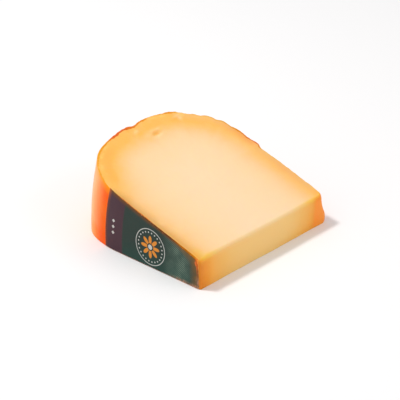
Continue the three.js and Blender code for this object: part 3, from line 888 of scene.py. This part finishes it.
def sheet_faces(across, up):
    """Quads of a front grid, of the grid behind it, and of the strip that joins their borders."""
    index = np.arange(across * up).reshape(across, up)
    corners = [index[:-1, :-1], index[:-1, 1:], index[1:, 1:], index[1:, :-1]]
    front = np.stack(corners, axis=-1).reshape(-1, 4)
    back = front[:, ::-1] + across * up
    border = np.concatenate([index[:, 0], index[-1, 1:], index[-2::-1, -1], index[0, -2:0:-1]])
    after = np.roll(border, -1)
    strip = np.stack([border, after, after + across * up, border + across * up], axis=-1)
    return np.concatenate([front, back, strip])


label_y, label_z, to_edges = label_grid()
to_arc, to_top, to_end, to_foot = to_edges
nearest = to_edges.min(axis=0)
wave = LABEL_WAVE * np.sin(label_y / 6 + label_z / 9) * smooth_step(nearest, 0, LABEL_WAVE_FROM)
lift = LABEL_THICKNESS * smooth_step(nearest, -0.3, 0.25) + wave
back_x = -rind_at(np.hypot(label_y + POINT_CUT, label_z)) - LABEL_BACK
outer = np.stack([back_x - lift, label_y, label_z], axis=-1)
inner = np.stack([back_x, label_y, label_z], axis=-1)
label_points = np.concatenate([outer.reshape(-1, 3), inner.reshape(-1, 3)])
label = make_piece("label_sheet", to_row(label_points), sheet_faces(LABEL_ACROSS, LABEL_UP))

# The label is browned below its cut edge and along its round edge, and rubbed down to bare paper
# along its foot and at its front end. Rows of place along the label: how far the browning reaches
# and its share, and the share of the rubbing along the foot.
DARKENING = [
    (0, 9, 0.9), (5, 8, 0.8), (8, 7, 0.7), (12, 4.5, 0.75), (18, 3, 0.6), (26, 1.8, 0.65),
    (34, 1.8, 0.8), (42, 2.6, 0.9), (58, 3, 1), (70, 3.2, 1), (80, 3.2, 1),
]
RUBBED = [
    (0, 0.95), (4, 0.85), (8, 0.35), (11, 0.45), (14, 0.6), (18, 0.45), (22, 0.15), (28, 0),
]
ARC_DARKENING, FOOT_RUB = 2.6, 2.0
END_RUB, END_RUB_REACH, END_RUB_AT, END_RUB_UP = 0.5, 2.9, 4.4, 2.8
darkening_reach, darkening_share = by_place(label_y, DARKENING)
[rub_share] = by_place(label_y, RUBBED)
along_foot = rub_share * np.clip(1.1 - to_foot / FOOT_RUB, 0, 1)
along_end = END_RUB * hump(label_z - END_RUB_AT, END_RUB_UP) * np.clip(1 - to_end / END_RUB_REACH, 0, 1)
for name, values in (
    ("edge_distance", nearest),
    ("end_distance", to_end),
    ("darkened", darkening_share * np.clip(1 - to_top / darkening_reach, 0, 1)),
    ("arc_darkened", np.clip(1 - to_arc / ARC_DARKENING, 0, 1)),
    ("rubbed", np.maximum(along_foot, along_end)),
):
    give_values(label, name, np.tile(values.ravel(), 2))


def inside(distance, edge, soft=0.14):
    """1 where a distance is less than edge, 0 past it, with a soft border."""
    share = maths("DIVIDE", maths("SUBTRACT", edge, distance), soft)
    return maths("ADD", share, 0.5, clamp=True)


def length_of(across, up):
    """The length of two offsets at right angles: the root of the sum of their squares."""
    squares = times(across, across), times(up, up)
    return maths("SQRT", maths("ADD", *squares))


# The print's ground: dark green, greener towards the foot, and an aubergine outer band.
BAND_START, BAND_SOFTNESS = 125.8, 1.2
printed, tree, shader = new_finish("label_print")
place = tree.nodes.new("ShaderNodeTexCoord").outputs["Object"]
flat = add("VectorMath", {0: place, 1: tuple(to_row([0, 0, 0]))}, operation="SUBTRACT").outputs[0]
flat = add("VectorMath", {0: flat, 1: (1000, 1000, 1000)}, operation="MULTIPLY").outputs[0]
_, print_y, print_z = add("SeparateXYZ", {0: flat}).outputs
centre_y = maths("SUBTRACT", print_y, -POINT_CUT)
centre_z = maths("SUBTRACT", print_z, LABEL_CENTRE_Z)
from_centre = length_of(centre_y, centre_z)
green = blended(noise(place, 30, 2), (28, 47, 40), (40, 59, 51))
green = blended(rescaled(print_z, 14.0, 2.0), green, (30, 64, 55))
band = blended(noise(place, 25, 2), (64, 35, 47), (76, 47, 56))
colour = blended(inside(from_centre, BAND_START, BAND_SOFTNESS), band, green)

# Fine slanting lines that fade in towards the point, on a paler ground.
SLANT, LINE_STEP, LINE_HALF, LINE_SOFTNESS = 0.8, 0.55, 0.22, 0.2
LINES_GROUND, LINES_STRENGTH = 0.35, 0.55
slant = maths("ADD", print_y, times(print_z, SLANT))
lines = inside(maths("PINGPONG", slant, LINE_STEP), LINE_HALF, LINE_SOFTNESS)
zone = rescaled(print_y, 31.0, 19.0)
zone = times(zone, rescaled(print_y, 4.0, 13.0))
patches = rescaled(noise(place, 6, 2), 0.3, 0.65)
lines = times(lines, times(zone, patches))
colour = blended(times(zone, LINES_GROUND), colour, (72, 102, 88))
colour = blended(times(lines, LINES_STRENGTH), colour, (140, 160, 140))

# The badge: a rosette of eight petals round a pale heart, in a ring of dots and a thin ring.
BADGE_Y, BADGE_Z = 41.0, 14.2
PETAL_LENGTH, PETAL_ROUND, PETAL_FROM, HEART = 7.6, 0.7, 2.6, 1.7
DOT_RING, DOT_COUNT, DOT_RADIUS = 9.9, 24, 0.5
BADGE_RING, BADGE_LINE = 12.0, 0.5
badge_y = maths("SUBTRACT", print_y, BADGE_Y)
badge_z = maths("SUBTRACT", print_z, BADGE_Z)
from_badge = length_of(badge_y, badge_z)
turn = maths("ARCTAN2", badge_z, badge_y)
petal = maths("ABSOLUTE", maths("COSINE", times(turn, 4.0)))
petal = times(maths("POWER", petal, PETAL_ROUND), PETAL_LENGTH)
rosette = inside(from_badge, petal, 0.5)
rosette = times(rosette, inside(PETAL_FROM, from_badge, 0.3))
colour = blended(rosette, colour, (224, 138, 42))
dot_turn = maths("FRACT", times(turn, DOT_COUNT / (2 * np.pi)))
dot_turn = maths("SUBTRACT", dot_turn, 0.5)
dot_along = times(dot_turn, 2 * np.pi * DOT_RING / DOT_COUNT)
dot_in = maths("SUBTRACT", from_badge, DOT_RING)
pale = inside(length_of(dot_along, dot_in), DOT_RADIUS)
off_ring = maths("ABSOLUTE", maths("SUBTRACT", from_badge, BADGE_RING))
pale = maths("MAXIMUM", pale, inside(off_ring, BADGE_LINE / 2))
pale = maths("MAXIMUM", pale, inside(from_badge, HEART))

# Three diamonds on the outer band, one above the other.
DIAMONDS_FROM_CENTRE, DIAMONDS_Z, DIAMOND_STEP, DIAMOND_SIZE = 133.6, 17.0, 2.1, 1.25
DIAMONDS_REACH, PALE_STRENGTH = 6.0, 0.85
up = maths("SUBTRACT", print_z, DIAMONDS_Z)
out = maths("ABSOLUTE", maths("SUBTRACT", from_centre, DIAMONDS_FROM_CENTRE))
diamond = maths("ADD", out, maths("PINGPONG", up, DIAMOND_STEP))
diamond = inside(diamond, DIAMOND_SIZE, 0.25)
three = inside(maths("ABSOLUTE", up), DIAMONDS_REACH)
pale = maths("MAXIMUM", pale, times(diamond, three))
colour = blended(times(pale, PALE_STRENGTH), colour, (214, 212, 206))

# Browning: below the cut edge, at the front end and along the round edge, which is orange at its
# upper corner.
end_distance = value_of(tree, "end_distance")
brown_end = rescaled(end_distance, 0.5, 7.5, 1.8, 0.0)
brown_end = times(brown_end, noise(place, 4, 3))
uneven = maths("ADD", 0.6, noise(place, 3, 2))
brown = times(value_of(tree, "darkened"), uneven)
brown = maths("MAXIMUM", brown, brown_end, clamp=True)
near_front = rescaled(print_y, 24.0, 14.0)
brown_colour = blended(near_front, (104, 62, 14), (118, 84, 34))
colour = blended(brown, colour, brown_colour)
upper_corner = rescaled(print_z, 34.0, 41.0)
arc_colour = blended(upper_corner, (112, 46, 12), (196, 92, 24))
colour = blended(value_of(tree, "arc_darkened"), colour, arc_colour)

# The upper part of the front end is a jagged strip of rust brown, orange at the top.
RUST_STEEP = 0.7
rust_reach = rescaled(noise(place, 2.4, 3), 0.35, 0.65, 0.9, 3.6)
rust_reach = maths("SUBTRACT", rust_reach, rescaled(print_z, 14.0, 18.0))
rust = maths("SUBTRACT", rust_reach, end_distance)
rust = times(rust, RUST_STEEP, clamp=True)
rust = times(rust, rescaled(print_z, 5.0, 13.0))
top_end = rescaled(print_z, 12.0, 15.5)
rust_colour = blended(top_end, (154, 80, 14), (218, 104, 30))
colour = blended(rust, colour, rust_colour)

# Rubbed paper in flecks, and bare fibres along all the edges.
flecks = rescaled(noise(place, 1.7, 3), 0.4, 0.6, 0.25, 1.35)
rubbed = times(value_of(tree, "rubbed"), flecks, clamp=True)
colour = blended(rubbed, colour, (214, 154, 124))
FRAYED_ABOVE, FRAYED_REACH, FRAYED_STEEP = 0.52, 2.4, 3.0
frayed = maths("SUBTRACT", noise(place, 1.6, 3), FRAYED_ABOVE)
frayed = times(frayed, FRAYED_REACH)
worn = maths("SUBTRACT", frayed, value_of(tree, "edge_distance"))
worn = times(worn, FRAYED_STEEP, clamp=True)
colour = blended(worn, colour, (196, 110, 66))
fill(shader, {
    "Base Color": colour, "Roughness": rescaled(noise(place, 8, 3), 0.0, 1.0, 0.42, 0.58),
    "IOR": 1.46, "Specular IOR Level": 0.22, "Coat Weight": 0.06, "Coat Roughness": 0.25,
})
bumps(shader, [(noise(place, 7, 3), 0.12), (noise(place, 0.7, 2), 0.02)])

label.data.materials.append(printed)
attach(label, "root")
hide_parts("label")

# ---------------------------------------------------------------------------------------------
# The studio: a plain pale floor under soft white light, with a small softbox high on the left, a
# large weak one in front on the right, and the camera. Its sizes are in metres.

FLOOR_SIDE = 12.0
KEY_AT, KEY_SIDE, KEY_WATTS = (-0.423, 0.606, 1.349), 0.24, 12.4
FILL_AT, FILL_SIDE, FILL_WATTS = (0.35, -1.3, 0.75), 1.0, 4.8
CAMERA_AT, CAMERA_AIM = (-0.777161, -0.719513, 0.565327), (-0.001691, -0.006924, 0.020)
LENS = 170.31
SKY_STRENGTH = 0.58
bpy.ops.mesh.primitive_plane_add(size=FLOOR_SIDE)
floor = bpy.context.object
floor.name = "floor"
floor_finish, tree, shader = new_finish("floor_paint")
fill(shader, {"Base Color": linear((247, 246, 246)), "Roughness": 0.8})
floor.data.materials.append(floor_finish)

world = bpy.data.worlds.new("studio")
bpy.context.scene.world = world
world.use_nodes = True
sky = world.node_tree.nodes["Background"]
fill(sky, {"Color": (1, 1, 1, 1), "Strength": SKY_STRENGTH})


def softbox(name, place, size, watts):
    """A square area light at a place, turned towards the middle of the foot."""
    lamp = bpy.data.lights.new(name, "AREA")
    lamp.size, lamp.energy = size, watts
    made = bpy.data.objects.new(name, lamp)
    bpy.context.scene.collection.objects.link(made)
    made.location = place
    made.rotation_mode = "QUATERNION"
    made.rotation_quaternion = (-Vector(place)).to_track_quat("-Z", "Y")


softbox("key_softbox", KEY_AT, KEY_SIDE, KEY_WATTS)
softbox("fill_softbox", FILL_AT, FILL_SIDE, FILL_WATTS)

camera = bpy.data.objects.new("camera", bpy.data.cameras.new("camera"))
bpy.context.scene.collection.objects.link(camera)
camera.data.lens = LENS
camera.data.sensor_width = 36
camera.data.clip_start, camera.data.clip_end = 0.05, 30
camera.location = CAMERA_AT
camera.rotation_mode = "QUATERNION"
camera.rotation_quaternion = (Vector(CAMERA_AIM) - camera.location).to_track_quat("-Z", "Y")
bpy.context.scene.camera = camera
bpy.context.scene.view_settings.view_transform = "Standard"
